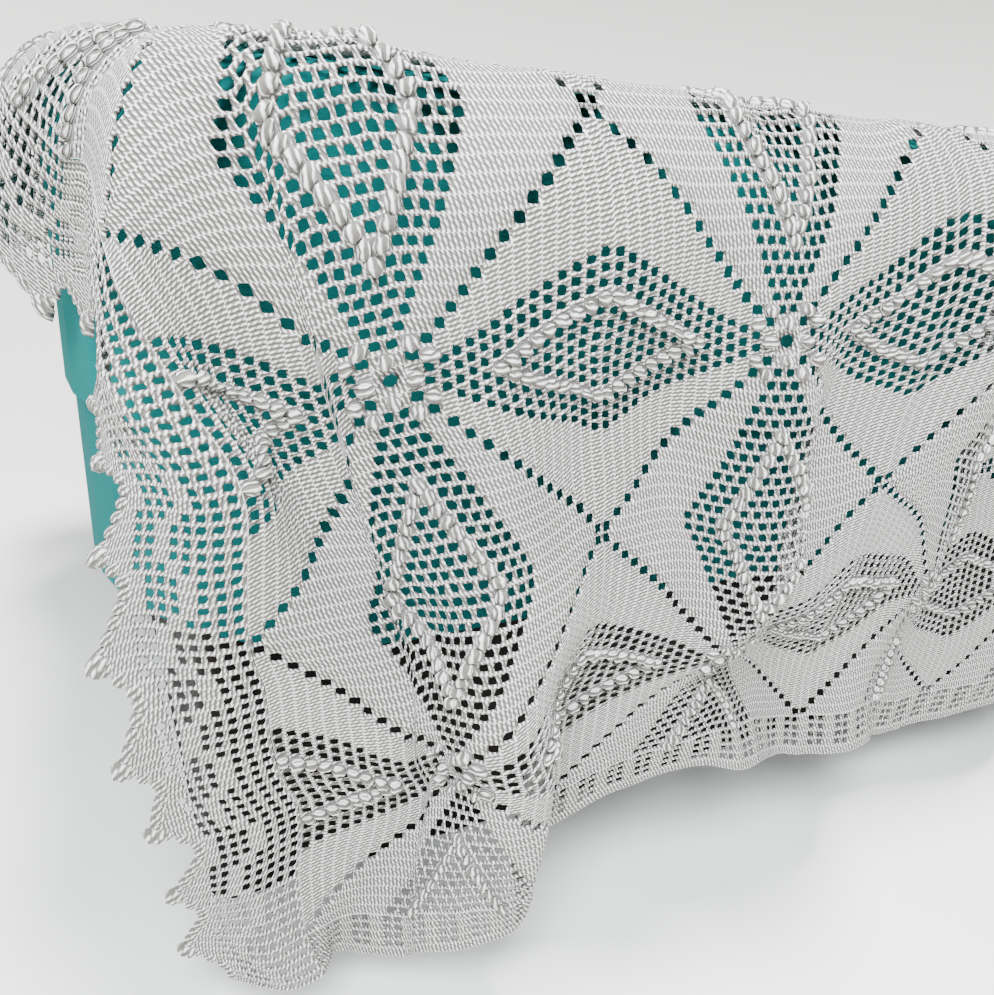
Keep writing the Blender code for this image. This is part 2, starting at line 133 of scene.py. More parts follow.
def smooth_step(t):
    """Ease from 0 to 1."""
    t = np.clip(t, 0.0, 1.0)
    return t * t * (3.0 - 2.0 * t)


def smooth_least(a, b, ease):
    """The lesser of two values, with a rounded change from one to the other."""
    return 0.5 * (a + b - np.sqrt((a - b) ** 2 + ease**2))


def hump(x, middle, reach):
    """A smooth hump of height 1."""
    return np.exp(-((x - middle) / reach) ** 2)


def by_depth(values, depth):
    """Read a row of values, one for each of DEPTHS, at any depth, along a smooth curve."""
    xs = np.array(DEPTHS)
    ys = np.array(values, float)
    depth = np.clip(depth, xs[0], xs[-1])
    i = np.clip(np.searchsorted(xs, depth) - 1, 0, len(xs) - 2)
    slope = np.gradient(ys, xs)
    slope[0] = 0.0
    span = xs[i + 1] - xs[i]
    t = (depth - xs[i]) / span
    start = ys[i] * (2 * t**3 - 3 * t**2 + 1) + slope[i] * span * (t**3 - 2 * t**2 + t)
    end = ys[i + 1] * (3 * t**2 - 2 * t**3) + slope[i + 1] * span * (t**3 - t**2)
    return start + end


def edge_turn(past):
    """How far out and down the cloth is, at a length past the start of the rounded edge."""
    angle = np.clip(past / TURN_RADIUS, 0.0, np.pi / 2)
    out = TURN_RADIUS * np.sin(angle)
    down = TURN_RADIUS * (1 - np.cos(angle)) + np.maximum(past - TURN_RADIUS * np.pi / 2, 0)
    return out, down


def even_folds(spec):
    """Fold lines at about equal spacing, dips and crests in turn."""
    lines = []
    for k in range(spec["lines"]):
        place = spec["first"] + (spec["last"] - spec["first"]) * k / (spec["lines"] - 1)
        off = spec["crest_mm"] if k % 2 else spec["dip_mm"]
        levels = range(len(DEPTHS) - 1)
        drift = [FOLD_WANDER * np.sin(1.9 * k + 1.3 * level) for level in levels]
        grow = [off * (FOLD_GROWTH["start"] + FOLD_GROWTH["step"] * level) for level in levels]
        lines.append({"squares": [place + d for d in drift], "off_mm": grow})
    return lines


def stand_off(folds, u, depth):
    """How far the folds push the cloth out, and where the first and last fold lines lie."""
    places = [by_depth((f["squares"][0],) + tuple(f["squares"]), depth) for f in folds]
    offs = [by_depth((0.0,) + tuple(f["off_mm"]), depth) / 1000.0 for f in folds]
    off = np.where(u <= places[0], offs[0], offs[-1])
    for k in range(len(folds) - 1):
        between = (u > places[k]) & (u <= places[k + 1])
        t = smooth_step((u - places[k]) / (places[k + 1] - places[k]))
        off = np.where(between, offs[k] * (1 - t) + offs[k + 1] * t, off)
    return off, places[0], places[-1]


def add_up(steps, start):
    """Running sum of steps along the first axis, zero at the starting row."""
    total = np.concatenate([np.zeros((1, steps.shape[1])), np.cumsum(steps, axis=0)])
    return total - total[start]


def hanging_side(folds, turns, u, past, past_end, end_down, flat_x):
    """One long side's fall: x, distance out from the turn's start, and depth below the top.

    Lengths along u and along v are both kept, so deep folds draw the cloth in and up.
    """
    off, first_line, last_line = stand_off(folds, u, past)
    out = edge_turn(past)[0] + off
    ray = np.hypot(past, past_end) + 1e-9
    lean = 0.5 * (past / ray)[:, 1:] + 0.5 * (past / ray)[:, :-1]
    run = np.diff(past, axis=1)
    fall = np.sqrt(np.maximum(run**2 - np.diff(out, axis=1)**2, 0.0))
    flap_fall = np.sqrt(np.maximum(fall**2, LEAST_FALL * run**2)) * lean
    fall = np.where(past_end[:, 1:] > 0, flap_fall, fall)
    down = np.zeros_like(past)
    down[:, 1:] = np.cumsum(fall, axis=1)
    down += end_down
    lifted = hump(past, FLAP_LIFT["depth"], FLAP_LIFT["reach"])
    down -= FLAP_LIFT["rise"] * smooth_step(past_end / FLAP_LIFT["past_end"]) * lifted

    step = np.sqrt(np.maximum((SQUARE * GRID)**2 - np.diff(down, axis=0)**2, 1e-12))
    out_step = np.clip(np.diff(out, axis=0), -STEEPEST * step, STEEPEST * step)
    middle = 0.5 * (u[1:] + u[:-1])
    depth = 0.5 * (past[1:] + past[:-1])
    turn_left, turn_right = [np.radians(np.interp(depth, DEPTHS[1:], turn)) for turn in turns]
    left = smooth_step((first_line[1:] - middle) / FLAP_TURN_WIDTH)
    right = smooth_step((middle - last_line[1:]) / FLAP_TURN_WIDTH)
    angle = (1 - left - right) * np.arcsin(out_step / step) + left * turn_left - right * turn_right
    held = int(np.argmin(np.abs(u[:, 0] - HELD_SQUARE)))
    x = add_up(np.cos(angle) * step, held) + flat_x[held]
    swing = add_up(np.sin(angle) * step, held)
    cols = np.arange(u.shape[1])
    for line, beyond in ((first_line, u < first_line), (last_line, u > last_line)):
        at_line = np.argmin(np.abs(u - line), axis=0)
        out = np.where(beyond, out[at_line, cols] + swing - swing[at_line, cols], out)
    return x, out, down


def draped_surface():
    """Mid-surface of the whole spread on a regular grid of (u, v)."""
    us = np.arange(*GRID_ALONG, GRID)
    vs = np.arange(*GRID_ACROSS, GRID)
    u, v = np.meshgrid(us, vs, indexing="ij")
    flat_x = FIRST_X + SQUARE * (np.cos(SKEW) * u - np.sin(SKEW) * v)
    flat_y = FIRST_Y + SQUARE * (np.sin(SKEW) * u + np.cos(SKEW) * v)
    back_start = BED_WIDTH - TURN_START
    to_corner = np.minimum(flat_y - TURN_START, back_start - flat_y)
    drawn_in = END_CORNER["in"] * (1 - smooth_step(to_corner / END_CORNER["reach"]))
    left_start = TURN_START + drawn_in
    right_start = BED_LENGTH - TURN_START - drawn_in

    past_left = np.maximum(left_start - flat_x, 0)
    past_right = np.maximum(flat_x - right_start, 0)
    past_end = past_left + past_right
    end_out, end_down = edge_turn(past_end)
    end_sign = np.where(past_left > 0, -1.0, 1.0)

    # The two ends hang straight down, with slight waves, and swing back near the corners.
    wave = 0.5 + 0.5 * np.cos(2 * np.pi * flat_y / END_WAVE["pitch"])
    wave *= smooth_step(to_corner / END_WAVE["fade"]) * smooth_step(past_end / END_WAVE["past_end"])
    end_edge = np.where(past_left > 0, left_start, right_start)
    low_end = smooth_step((past_end - END_HELD) / END_EASE)
    flare = END_FLARE["out"] * low_end * hump(to_corner, END_FLARE["place"], END_FLARE["reach"])
    end_x = end_edge + end_sign * (end_out + END_WAVE["off"] * wave + flare)
    end_x = np.where(past_end > 0, end_x, flat_x)
    swing = FLAP_BACK["by"] * low_end
    near_front = np.exp(-np.maximum(flat_y - TURN_START, 0) / FLAP_BACK["reach"])
    near_back = np.exp(-np.maximum(back_start - flat_y, 0) / FLAP_BACK["reach"])
    held = np.clip(flat_y, TURN_START, back_start)
    end_y = held + END_FOLLOW * (flat_y - held) + swing * (near_front - near_back)
    x, y, down = end_x.copy(), end_y.copy(), end_down.copy()

    front = list(FRONT_FOLDS) + even_folds(FAR_FOLDS)
    back = even_folds(BACK_FOLDS)
    past_front = np.maximum(TURN_START - flat_y, 0)
    past_back = np.maximum(flat_y - back_start, 0)
    sides = (("front", front, past_front, -1, TURN_START), ("back", back, past_back, 1, back_start))
    for side, folds, past, sign, start in sides:
        # A side is worked out from the bed's top outwards, so the front's columns are turned round.
        outwards = (slice(None), slice(None, None, sign))
        turns = (FLAP_TURN[side + " left"], FLAP_TURN[side + " right"])
        parts = [part[outwards] for part in (u, past, past_end, end_down, flat_x)]
        side_x, out, side_down = [part[outwards] for part in hanging_side(folds, turns, *parts)]
        if side == "front":
            lifted = hump(u, HEM_LIFT["square"], HEM_LIFT["reach"])
            low = smooth_step((past - HEM_LIFT["from"]) / HEM_LIFT["over"])
            side_down = side_down - HEM_LIFT["rise"] * lifted * low
        # Past an end the cloth stays in line with the end's hang until the side's fold takes it.
        corner_out = smooth_least(sign * (end_y - start), out, CORNER_EASE)
        round_corner = smooth_step(past_end / END_HELD)
        blend_y = start + sign * (out * (1 - round_corner) + corner_out * round_corner)
        low = smooth_step(past / BLEND_DEPTH)
        hangs = past > 0
        x = np.where(hangs, end_x * (1 - low) + side_x * low, x)
        y = np.where(hangs, blend_y, y)
        down = np.where(hangs, side_down, down)
    z = BED_TOP + REST_GAP + CLOTH / 2 - down
    return us, vs, np.stack([x + BED_LOW.x, y + BED_LOW.y, z], axis=-1)


US, VS, SURFACE = draped_surface()


def cubic_weights(t):
    """Catmull-Rom weights of four neighbours at t between the middle two."""
    return np.stack([
        0.5 * (-t + 2 * t**2 - t**3),
        0.5 * (2 - 5 * t**2 + 3 * t**3),
        0.5 * (t + 4 * t**2 - 3 * t**3),
        0.5 * (t**3 - t**2),
    ], axis=-1)


def on_cloth(u, v):
    """Points of the draped mid-surface at cloth places u, v (arrays of one shape)."""
    a = np.clip((np.asarray(u, float) - US[0]) / GRID, 1, len(US) - 2.001)
    b = np.clip((np.asarray(v, float) - VS[0]) / GRID, 1, len(VS) - 2.001)
    i, j = a.astype(int), b.astype(int)
    wu, wv = cubic_weights(a - i), cubic_weights(b - j)
    point = np.zeros(i.shape + (3,))
    for m in range(4):
        for n in range(4):
            weight = (wu[..., m] * wv[..., n])[..., None]
            point += weight * SURFACE[i + m - 1, j + n - 1]
    return point


def cloth_normals(u, v):
    """Unit normals of the mid-surface, on the spread's upper side."""
    h = 0.5 * GRID
    across = np.cross(on_cloth(u + h, v) - on_cloth(u - h, v), on_cloth(u, v + h) - on_cloth(u, v - h))
    return across / np.linalg.norm(across, axis=-1, keepdims=True)


# ---- crochet, planned flat ----
CELLS_TO_SQUARES = 1.0 / (2 * ROUNDS)
HALF = 0.0012             # yarn above and below the cloth's middle
SEAM_RISE = 0.0017        # ridge along a seam
# A mesh hole's outline about its cell's middle, in cells: flat below, leaning and arched above.
HOLE = (
    (-0.30, -0.30), (0.22, -0.33), (0.34, -0.08), (0.30, 0.20),
    (0.12, 0.31), (-0.18, 0.29), (-0.34, 0.04),
)
EYELET_CORNER = [(0.37, 0.23), (0.23, 0.37)]   # a quarter of the outline of a corner's hole
CENTRE_HOLE = {"radius": 0.50, "sides": 10}    # hole in the middle of a square, in cells
# A popcorn's rings above its cell: half width and half height in cells, and rise in metres.
POPCORN_RINGS = (
    {"wide": 0.38, "tall": 0.47, "rise": 0.0012},
    {"wide": 0.48, "tall": 0.60, "rise": 0.0034},
    {"wide": 0.33, "tall": 0.42, "rise": 0.0056},
)
POPCORN_TOP = 0.0062
POPCORN_SIDES = 7
POPCORN_STRANDS = 1.3     # strands of yarn across a popcorn
# How far a popcorn's outline and rise swell and narrow, and how these turn from one to the next.
POPCORN_LUMP = {"by": 0.17, "outline": 2.4, "rise": 1.7}
OPEN_BESIDE_POPCORN = 3   # mesh holes between a popcorn and the solid band
FIRST_POPCORN_PAIR = 9    # from this round outward, a side has two popcorns
MIDDLE_POPCORN_ROUND = 2  # the round with a popcorn in the middle of each side
BAND_POPCORN_ROUND = 3    # the round whose solid bands are a popcorn each
KNOB_SIDES = 6
KNOB_RINGS = ({"wide": 1.0, "rise": 0.0}, {"wide": 0.74, "rise": 0.72})    # shares of its size and rise
KNOB_STRANDS = ((1.4, 0.8), (1.0, 0.6))        # posts and rows of yarn round those rings
POSTS_PER_CELL = 3        # double crochets across one cell
STRAND_ROW = 0.14         # a place just off a row's top, where strands show a little
# The stitch place where the painted shade between posts is darkest.
PAINTED_SHADE_PLACE = (0.5, 0.5)       # a place between two posts, the darkest of the stitch pattern
# How much hand work varies: each hole's size, place, lean and outline, and a popcorn's rise.
HAND = {"size": 0.11, "place": 0.05, "lean": 0.16, "outline": 0.04, "rise": 0.12}
# How the cloth's places wander along and across it: waves by so many squares, with radians to
# a square along u and along v.
WANDER_ALONG = (
    {"by": 0.0030, "u": 11.3, "v": 7.1, "start": 0.0},
    {"by": 0.0022, "u": -5.2, "v": 23.0, "start": 1.0},
)
WANDER_ACROSS = (
    {"by": 0.0030, "u": -6.3, "v": 12.1, "start": 2.0},
    {"by": 0.0022, "u": 21.0, "v": 4.4, "start": 0.0},
)
UNEVEN_RISE = 0.0034      # most that the cloth stands above its drape, and the waves of that rise
UNEVEN_WAVES = (
    {"by": 0.2, "u": 9.7, "v": 13.0, "start": 0.0},
    {"by": 0.2, "u": 17.0, "v": -11.0, "start": 0.7},
)


def turned(a, b, side):
    """A place on the side worked away from the middle, turned to one of the four sides."""
    for _ in range(side):
        a, b = -b, a
    return a, b


def all_turned(places, side):
    """Places turned in the same way."""
    return [turned(a, b, side) for a, b in places]


def between_loops(outer, inner, middle):
    """Triangles between two loops of places round a middle, as indexes into outer + inner."""
    turns = [[np.arctan2(y - middle[1], x - middle[0]) for x, y in loop] for loop in (outer, inner)]
    outer_turn, inner_turn = [[(a - turn[0]) % (2 * np.pi) for a in turn] for turn in turns]
    outer_turn.append(2 * np.pi)
    shift = turns[0][0] - turns[1][0]
    inner_turn = [(a - shift + np.pi) % (2 * np.pi) - np.pi for a in inner_turn]
    first = int(np.argmin(np.abs(inner_turn)))
    order = [(first + k) % len(inner) for k in range(len(inner))]
    base = inner_turn[first]
    inner_turn = [base + (inner_turn[k] - base) % (2 * np.pi) for k in order] + [base + 2 * np.pi]
    outer_places = list(range(len(outer))) + [0]
    inner_places = [len(outer) + k for k in order + [first]]
    triangles = []
    i = j = 0
    while i < len(outer) or j < len(inner):
        a, b = outer_places[i], inner_places[j]
        step_out = j == len(inner) or (i < len(outer) and outer_turn[i + 1] <= inner_turn[j + 1])
        if step_out:
            i += 1
        else:
            j += 1
        triangles.append((a, outer_places[i] if step_out else inner_places[j], b))
    return triangles


class Work:
    """Crochet planned flat: points at (along, across) in cells with a height, and triangles.

    A point is its cell's middle plus an arm, so that each hole can be varied by itself.
    stitches holds each triangle corner's place in posts along the row and in rows.
    """

    def __init__(self, on_seam):
        self.on_seam = on_seam    # tells whether a place lies on a seam, which is raised
        self.points = []          # (middle, arm, height, cell) of each
        self.triangles = []
        self.stitches = []
        self.shared = {}
        self.twins = []           # top and under points of each crossing
        self.cell_count = 1       # cell 0 is all that isn't varied

    def new_cell(self):
        self.cell_count += 1
        return self.cell_count - 1

    def add(self, middle, arm, height, cell):
        self.points.append((middle, arm, height, cell))
        return len(self.points) - 1

    def crossing(self, place):
        """Top and under points where rows and posts meet."""
        key = (round(place[0] * 8), round(place[1] * 8))
        if key not in self.shared:
            top = self.add(place, (0.0, 0.0), SEAM_RISE if self.on_seam(place) else HALF, 0)
            under = self.add(place, (0.0, 0.0), -HALF, 0)
            self.shared[key] = (top, under)
            self.twins.append((top, under))
        return self.shared[key]

    def face(self, points, marks, corners):
        """A triangle by its corners' indexes in lists of points and of their stitches."""
        self.triangles.append([points[k] for k in corners])
        self.stitches.append([marks[k] for k in corners])

    def on_loop(self, loop, stitch):
        """Top points, under points and stitches of a loop of places."""
        tops, unders = zip(*[self.crossing(p) for p in loop])
        return list(tops), list(unders), [stitch(p) for p in loop]

    def close_below(self, unders, marks):
        """A fan under a loop of crossings."""
        for k in range(1, len(unders) - 1):
            self.face(unders, marks, (k + 1, k, 0))

    def peak(self, points, marks, crest, mark):
        """Triangles from a loop of points up to a crest."""
        count = len(points)
        for k in range(count):
            self.face(points + [crest], marks + [mark], (k, (k + 1) % count, count))

    def solid(self, loop, stitch):
        """Closed work inside a loop of places: a fan above and the same below."""
        tops, unders, marks = self.on_loop(loop, stitch)
        for k in range(1, len(loop) - 1):
            self.face(tops, marks, (0, k, k + 1))
        self.close_below(unders, marks)

    def hole(self, loop, outline, middle, stitch):
        """A loop of places with a hole of the given outline about its middle."""
        cell = self.new_cell()
        tops, unders, marks = self.on_loop(loop, stitch)
        ring = [self.add(middle, arm, 0.0, cell) for arm in outline]
        places = [(middle[0] + x, middle[1] + y) for x, y in outline]
        marks += [stitch(p) for p in places]
        for triangle in between_loops(loop, places, middle):
            self.face(tops + ring, marks, triangle)
            self.face(unders + ring, marks, triangle[::-1])

    def raised(self, loop, middle, rise, stitch):
        """Closed work raised in its middle, flat below."""
        tops, unders, marks = self.on_loop(loop, stitch)
        self.peak(tops, marks, self.add(middle, (0.0, 0.0), rise, 0), stitch(middle))
        self.close_below(unders, marks)

    def popcorn(self, loop, middle, side, stitch):
        """A loop of places closed below and raised above into a bulging popcorn."""
        cell = self.new_cell()
        previous, unders, marks = self.on_loop(loop, stitch)
        self.close_below(unders, marks)
        previous_places = loop
        taller = 1 + POPCORN_LUMP["by"] * np.cos(POPCORN_LUMP["rise"] * cell)
        for level, ring in enumerate(POPCORN_RINGS):
            arms = []
            strands = []
            for k in range(POPCORN_SIDES):
                turn = 2 * np.pi * (k + 0.5) / POPCORN_SIDES
                lump = 1 + level * POPCORN_LUMP["by"] * np.cos(2 * turn + POPCORN_LUMP["outline"] * cell)
                wide, tall = lump * ring["wide"] * np.cos(turn), lump * ring["tall"] * np.sin(turn)
                arms.append(turned(wide, tall, side))
                # The first ring takes the painted shade of the crease, and the strands run over the rings
                # above.
                strands.append(PAINTED_SHADE_PLACE if level == 0 else (POPCORN_STRANDS * np.cos(turn) / level, STRAND_ROW))
            places = [(middle[0] + x, middle[1] + y) for x, y in arms]
            here = [self.add(middle, arm, ring["rise"] * taller, cell) for arm in arms]
            for triangle in between_loops(previous_places, places, middle):
                self.face(previous + here, marks + strands, triangle)
            previous, previous_places, marks = here, places, strands
        self.peak(previous, marks, self.add(middle, (0.0, 0.0), POPCORN_TOP, cell), (0.0, STRAND_ROW))

    def knob(self, middle, along, outward, rise):
        """A closed rounded knob of yarn, such as a picot."""
        turns = [2 * np.pi * k / KNOB_SIDES for k in range(KNOB_SIDES)]
        rings = []
        for share in KNOB_RINGS:
            arms = [(share["wide"] * along * np.cos(t), share["wide"] * outward * np.sin(t)) for t in turns]
            rings.append([self.add(middle, arm, share["rise"] * rise, 0) for arm in arms])
        low, high = rings
        crest = self.add(middle, (0.0, 0.0), rise, 0)
        under = self.add(middle, (0.0, 0.0), -HALF, 0)
        outer, inner = [[(x * np.cos(t), 0.5 + y * np.sin(t)) for t in turns] for x, y in KNOB_STRANDS]
        for k in range(KNOB_SIDES):
            after = (k + 1) % KNOB_SIDES
            for corners in ((k, after, KNOB_SIDES + after), (k, KNOB_SIDES + after, KNOB_SIDES + k)):
                self.face(low + high, outer + inner, corners)
        self.peak(high, inner, crest, (0.0, 0.5))
        self.peak(low[::-1], outer[::-1], under, (0.0, 0.5))


def along_row(place):
    """A place's stitches where the rows run along it: posts, and rows."""
    return POSTS_PER_CELL * place[0], place[1]


def plan_square():
    """One square worked in rounds from its middle, in cells from -16 to 16."""
    work = Work(lambda place: max(abs(place[0]), abs(place[1])) > ROUNDS - 0.01)

    # The first round: a ring round the hole in the middle.
    steps = [(-1 + 0.5 * k, -1.0) for k in range(4)]
    loop = [place for side in range(4) for place in all_turned(steps, side)]
    turns = np.arange(CENTRE_HOLE["sides"]) * 2 * np.pi / CENTRE_HOLE["sides"]
    ring = [(CENTRE_HOLE["radius"] * np.cos(t), CENTRE_HOLE["radius"] * np.sin(t)) for t in turns]
    work.hole(loop, ring, (0.0, 0.0), along_row)

    for row in range(2, ROUNDS + 1):
        for side in range(4):
            work_side(work, row, side)
            work_corner(work, row - 1.0, side)
    return work


def work_side(work, row, side):
    """One side of one round: a solid band, mesh with popcorns, a solid band."""
    count = row - 1
    start = -count / 2

    def stitch(place):
        a, b = turned(place[0], place[1], (4 - side) % 4)
        return POSTS_PER_CELL * (a - start), b

    for end in (-1, 1):
        if row == BAND_POPCORN_ROUND:
            work_cell(work, "popcorn", end * row / 2, row, side, stitch)
            continue
        for k in range(count):
            near = count / 2 + k / 2
            x0, x1 = sorted((end * near, end * (near + 0.5)))
            corners = [(x0, row - 1), (x1, row - 1), (x1, row), (x0, row)]
            work.solid(all_turned(corners, side), stitch)
    for k in range(count):
        pair = row >= FIRST_POPCORN_PAIR and k in (OPEN_BESIDE_POPCORN, count - 1 - OPEN_BESIDE_POPCORN)
        single = row == FIRST_POPCORN_PAIR - 1 and k == OPEN_BESIDE_POPCORN
        kind = "popcorn" if pair or single or row == MIDDLE_POPCORN_ROUND else "hole"
        work_cell(work, kind, start + k + 0.5, row, side, stitch)


def work_cell(work, kind, centre, row, side, stitch):
    """One cell of a round: a mesh hole or a popcorn."""
    low, high = row - 1, row
    corners = [
        (centre - 0.5, low), (centre, low), (centre + 0.5, low),
        (centre + 0.5, high), (centre, high), (centre - 0.5, high),
    ]
    loop = all_turned(corners, side)
    middle = turned(centre, (low + high) / 2, side)
    if kind == "hole":
        work.hole(loop, all_turned(HOLE, side), middle, stitch)
    else:
        work.popcorn(loop, middle, side, stitch)


def work_corner(work, n, side):
    """The eyelet at a round's corner."""
    corners = [(n, n), (n + 1, n), (n + 1, n + 0.5), (n + 1, n + 1), (n + 0.5, n + 1), (n, n + 1)]
    eyelet = [place for quarter in range(4) for place in all_turned(EYELET_CORNER, quarter)]
    work.hole(all_turned(corners, side), eyelet, turned(n + 0.5, n + 0.5, side), along_row)


# ---- lace edging and border, planned flat ----
LACE_END = 101            # rows of lace each way from its middle
TOOTH_ROWS = 8            # rows of lace in one tooth
TOOTH_FALL = 3            # rows from a tooth's tip down its short side
TOOTH_CURVE = 1.15        # above 1, a tooth's sides curve inwards
LACE_VALLEY = 8.1         # reach of the lace between teeth, in cells
LACE_TIP = 11.1           # and at a tooth's tip
LACE_BLOCK = {"first": 3, "swing": 2.9}        # the zigzag of solid cells, a cell to a row
LACE_OPEN = 8             # cells of mesh from the seam outward at most
LACE_RIM = 0.9            # solid work left at the lace's edge, in cells
LACE_HOLE = 0.88          # size of a lace hole against a square's
LEAST_CELL = 0.3          # shortest cell that is worked by itself at the edge
PICOT = {"along": 0.66, "outward": 0.78, "rise": 0.0028}       # a picot at the end of a row
TIP_KNOB = {"along": 1.05, "outward": 1.10, "rise": 0.0056}    # and the thick one on a tip
BORDER_CELLS = 112        # cells of border each way from its middle
BORDER_ROWS = 5
BORDER_HOLE = (0.86, 0.80)     # size of a border hole against a square's
RIB_EVERY = 3             # cells from one rib of the border to the next
RIB_RISE = 0.0026


def on_edging_seam(place):
    """Whether a place lies on an edging's seam."""
    return place[1] < 0.01


def tooth_share(row_place):
    """How far up its tooth a place along the lace is: 0 between teeth and 1 at a tip."""
    along = row_place % TOOTH_ROWS
    rising = TOOTH_ROWS - TOOTH_FALL
    return 1.0 - along / rising if along < rising else (along - rising) / TOOTH_FALL


def lace_reach(line):
    """How far the lace reaches at a row line, in cells."""
    return LACE_VALLEY + (LACE_TIP - LACE_VALLEY) * tooth_share(line) ** TOOTH_CURVE


def cell_corners(a, b):
    """The corners of the cell that starts at (a, b)."""
    return [(a, b), (a + 1, b), (a + 1, b + 1), (a, b + 1)]


def plan_lace():
    """Lace edging worked sideways: (along the edge, outward) in cells, its seam at 0."""
    work = Work(on_edging_seam)
    outline = [(LACE_HOLE * y, -LACE_HOLE * x) for x, y in HOLE]

    def stitch(place):
        return POSTS_PER_CELL * place[1], place[0]

    for row in range(-LACE_END, LACE_END):
        block = LACE_BLOCK["first"] + int(LACE_BLOCK["swing"] * tooth_share(row + 0.5))
        inside = min(LACE_OPEN, int(min(lace_reach(row), lace_reach(row + 1)) - LACE_RIM))
        for column in range(inside):
            loop = cell_corners(row, column)
            if column == block:
                work.solid(loop, stitch)
            else:
                work.hole(loop, outline, (row + 0.5, column + 0.5), stitch)
        work_tooth_end(work, row, inside, stitch)
    return work


def work_tooth_end(work, row, inside, stitch):
    """The solid end of one row of lace, out to the edge and its picot."""
    def line_points(line):
        reach = lace_reach(line)
        columns = [k for k in range(inside, int(reach) + 1) if k < reach - LEAST_CELL]
        return [(line, k) for k in columns] + [(line, reach)]

    low, high = line_points(row), line_points(row + 1)
    i = j = 0
    while i < len(low) - 1 or j < len(high) - 1:
        low_next = i < len(low) - 1 and (j == len(high) - 1 or low[i + 1][1] <= high[j + 1][1])
        if low_next:
            work.solid([low[i], high[j], low[i + 1]], stitch)
            i += 1
        else:
            work.solid([low[i], high[j], high[j + 1]], stitch)
            j += 1
    work.knob((row + 0.5, (low[-1][1] + high[-1][1]) / 2), **PICOT)
    if row % TOOTH_ROWS == 0:
        work.knob((row, low[-1][1]), **TIP_KNOB)


def plan_border():
    """Straight border: (along the edge, outward) in cells, its seam at 0."""
    work = Work(on_edging_seam)
    outline = [(BORDER_HOLE[0] * x, BORDER_HOLE[1] * y) for x, y in HOLE]
    for row in range(BORDER_ROWS):
        for k in range(-BORDER_CELLS, BORDER_CELLS):
            loop = cell_corners(k, row)
            middle = (k + 0.5, row + 0.5)
            if (k + BORDER_CELLS) % RIB_EVERY == 0:
                work.raised(loop, middle, RIB_RISE, along_row)
            elif row == BORDER_ROWS - 1:
                work.solid(loop, along_row)
            else:
                work.hole(loop, outline, middle, along_row)
    return work


# ---- laying the work on the drape ----
def cloth_arrays(work, seed):
    """The work's points as (along, across) in cells, each hole and crossing varied a little."""
    rng = np.random.default_rng(seed)

    def varied(name, *shape):
        by = HAND[name] * rng.uniform(-1.0, 1.0, shape)
        by[0] = 0.0
        return by

    grow, shift, lean = [varied(name, work.cell_count, 2) for name in ("size", "place", "lean")]
    lift = 1.0 + varied("rise", work.cell_count)
    middles, arms, heights, cells = [np.array(column) for column in zip(*work.points)]
    rough = np.where(cells > 0, HAND["outline"], 0.0)[:, None] * rng.uniform(-1.0, 1.0, arms.shape)
    arms = arms * (1.0 + grow[cells]) + arms[:, ::-1] * lean[cells] + rough
    return middles + arms + shift[cells], heights * lift[cells]


def waves(u, v, table):
    """Sum of a table's waves over the cloth."""
    return sum(w["by"] * np.sin(w["u"] * u + w["v"] * v + w["start"]) for w in table)


def uneven(u, v):
    """How hand work wanders: small shifts along the cloth and a rise, smooth everywhere."""
    ripples = 0.1 * np.sin(31.0 * u + 5.0 * v) * np.sin(27.0 * v - 3.0 * u)
    rise = UNEVEN_RISE * (0.5 + waves(u, v, UNEVEN_WAVES) + ripples)
    return waves(u, v, WANDER_ALONG), waves(u, v, WANDER_ACROSS), rise


def weld(u, v, heights, triangles, twins):
    """Join points at one place: what joined points keep, the triangles and the twins."""
    key = np.round(np.stack([u, v, heights * 10], axis=1) * 1e5).astype(np.int64)
    _, kept, joined = np.unique(key, axis=0, return_index=True, return_inverse=True)
    joined = joined.ravel()
    return kept, joined[triangles], joined[twins]


def close_rim(triangles, twins):
    """Walls between the upper and under sides along the outer edge, and the rim's edges."""
    a, b = triangles.ravel(), np.roll(triangles, -1, axis=1).ravel()
    size = int(triangles.max()) + 1
    there, back = a.astype(np.int64) * size + b, b.astype(np.int64) * size + a
    open_edge = ~np.isin(there, back)
    under = np.full(size, -1)
    under[twins[:, 0]] = twins[:, 1]
    a, b = a[open_edge], b[open_edge]
    upper = (under[a] >= 0) & (under[b] >= 0)
    a, b = a[upper], b[upper]
    walls = np.concatenate([np.stack([b, a, under[a]], axis=1), np.stack([b, under[a], under[b]], axis=1)])
    rim = np.concatenate([np.stack([a, b], axis=1), np.stack([under[a], under[b]], axis=1)])
    return walls, rim


def mark_sharp(mesh, rim):
    """Keep the rim's edges sharp, so that shading runs level up to a seam."""
    ends = np.empty(len(mesh.edges) * 2, dtype=np.int32)
    mesh.edges.foreach_get("vertices", ends)
    size = len(mesh.vertices)

    def keys(pairs):
        pairs = np.sort(pairs.astype(np.int64), axis=1)
        return pairs[:, 0] * size + pairs[:, 1]

    sharp = mesh.attributes.new("sharp_edge", "BOOLEAN", "EDGE")
    sharp.data.foreach_set("value", np.isin(keys(ends.reshape(-1, 2)), keys(rim)))


def crochet_mesh(name, points, triangles, stitches):
    """A smooth mesh of triangles, with each corner's place in the stitches as its UV map."""
    mesh = bpy.data.meshes.new(name)
    mesh.from_pydata(points, [], triangles, shade_flat=False)
    layer = mesh.uv_layers.new(name="stitches")
    layer.data.foreach_set("uv", stitches.astype(np.float32).ravel())
    return mesh


def add_object(name, data):
    """A new object of the given data, in the scene."""
    item = bpy.data.objects.new(name, data)
    bpy.context.scene.collection.objects.link(item)
    return item


